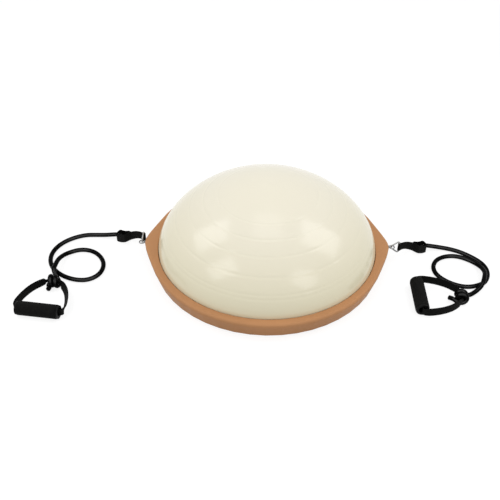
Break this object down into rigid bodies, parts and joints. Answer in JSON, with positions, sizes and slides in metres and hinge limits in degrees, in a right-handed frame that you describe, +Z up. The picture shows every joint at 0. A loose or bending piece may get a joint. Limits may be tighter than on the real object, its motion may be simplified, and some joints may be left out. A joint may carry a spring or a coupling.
{
  "type": "half ball balance trainer",
  "caption": "Half ball balance trainer: an inflated dome on a round base with a lug at each side, where a snap hook holds a rubber resistance band with a grip handle.",
  "frame": {"origin": "centre of the underside, on the floor, at the bottom face of the central anti-slip pad", "axes": "+Z up, +X through the two side lugs towards the right one as pictured, -Y towards the camera"},
  "size_m": [1.173, 0.6004, 0.228],
  "materials": {
    "tan_plastic": "satin",
    "cream_vinyl": "gloss",
    "grey_rubber": "matte",
    "steel": "polished",
    "black_rubber": "satin",
    "black_webbing": "matte",
    "black_foam": "matte",
    "black_plastic": "satin"
  },
  "bodies": {
    "base": {"base_platform": "tan_plastic", "clamp_ring": "tan_plastic", "dome": "cream_vinyl", "bladder_floor": "cream_vinyl", "valve_body": "cream_vinyl", "center_pad": "grey_rubber", "foot_1": "grey_rubber", "foot_2": "grey_rubber", "foot_3": "grey_rubber", "foot_4": "grey_rubber", "foot_5": "grey_rubber", "foot_6": "grey_rubber", "foot_screw_1": "steel", "foot_screw_2": "steel", "foot_screw_3": "steel", "foot_screw_4": "steel", "foot_screw_5": "steel", "foot_screw_6": "steel", "eye_bolt_left": "steel", "eye_bolt_right": "steel"},
    "valve_plug": {"valve_plug": "cream_vinyl"},
    "hook_right": {"hook_right": "steel", "gate_pin_right": "steel"},
    "gate_right": {"gate_right": "steel"},
    "band_right": {"sleeve_right": "black_webbing", "stopper_right": "black_rubber", "tube_right": "black_rubber", "knot_right": "black_rubber"},
    "handle_right": {"strap_right": "black_webbing", "grip_core_right": "black_plastic", "grip_collar_right_a": "black_plastic", "grip_collar_right_b": "black_plastic"},
    "grip_right": {"grip_foam_right": "black_foam"},
    "hook_left": {"hook_left": "steel", "gate_pin_left": "steel"},
    "gate_left": {"gate_left": "steel"},
    "band_left": {"sleeve_left": "black_webbing", "stopper_left": "black_rubber", "tube_left": "black_rubber", "knot_left": "black_rubber"},
    "handle_left": {"strap_left": "black_webbing", "grip_core_left": "black_plastic", "grip_collar_left_a": "black_plastic", "grip_collar_left_b": "black_plastic"},
    "grip_left": {"grip_foam_left": "black_foam"}
  },
  "joints": [
    {"name": "valve_plug_pull", "type": "slide", "parent": "base", "child": "valve_plug", "axis": [0, 0, -1], "range_m": [0, 0.006]},
    {"name": "hook_lift_right", "type": "hinge", "parent": "base", "child": "hook_right", "pos_m": [0.32902, 0.00025, 0.0405], "axis": [0, -1, 0], "range_deg": [0, 30]},
    {"name": "gate_open_right", "type": "hinge", "parent": "hook_right", "child": "gate_right", "pos_m": [0.33481, 0.00055, 0.0536], "axis": [0.0523, -0.9986, 0], "range_deg": [0, 25], "stiffness_Nm_per_rad": 0.02, "springref_deg": -22.92},
    {"name": "sleeve_swing_right", "type": "hinge", "parent": "hook_right", "child": "band_right", "pos_m": [0.343, 0.00098, 0.0405], "axis": [0, 0, 1], "range_deg": [-20, 20]},
    {"name": "handle_fold_right", "type": "hinge", "parent": "band_right", "child": "handle_right", "pos_m": [0.4793, -0.1566, 0.0172], "axis": [0, 1, 0], "range_deg": [0, 60]},
    {"name": "grip_spin_right", "type": "hinge", "parent": "handle_right", "child": "grip_right", "pos_m": [0.3758, -0.1566, 0.0172], "axis": [0, 1, 0], "continuous": true},
    {"name": "hook_lift_left", "type": "hinge", "parent": "base", "child": "hook_left", "pos_m": [-0.32302, 0.0082, 0.0405], "axis": [0, 1, 0], "range_deg": [0, 30]},
    {"name": "gate_open_left", "type": "hinge", "parent": "hook_left", "child": "gate_left", "pos_m": [-0.32212, 0.01393, 0.0536], "axis": [0.9877, -0.1564, 0], "range_deg": [0, 25], "stiffness_Nm_per_rad": 0.02, "springref_deg": -22.92},
    {"name": "sleeve_swing_left", "type": "hinge", "parent": "hook_left", "child": "band_left", "pos_m": [-0.32083, 0.02203, 0.0405], "axis": [0, 0, 1], "range_deg": [-20, 20]},
    {"name": "handle_fold_left", "type": "hinge", "parent": "band_left", "child": "handle_left", "pos_m": [-0.52639, -0.13227, 0.0172], "axis": [-0.9925, 0.1219, 0], "range_deg": [0, 60]},
    {"name": "grip_spin_left", "type": "hinge", "parent": "handle_left", "child": "grip_left", "pos_m": [-0.539, -0.235, 0.0172], "axis": [-0.9925, 0.1219, 0], "continuous": true}
  ]
}
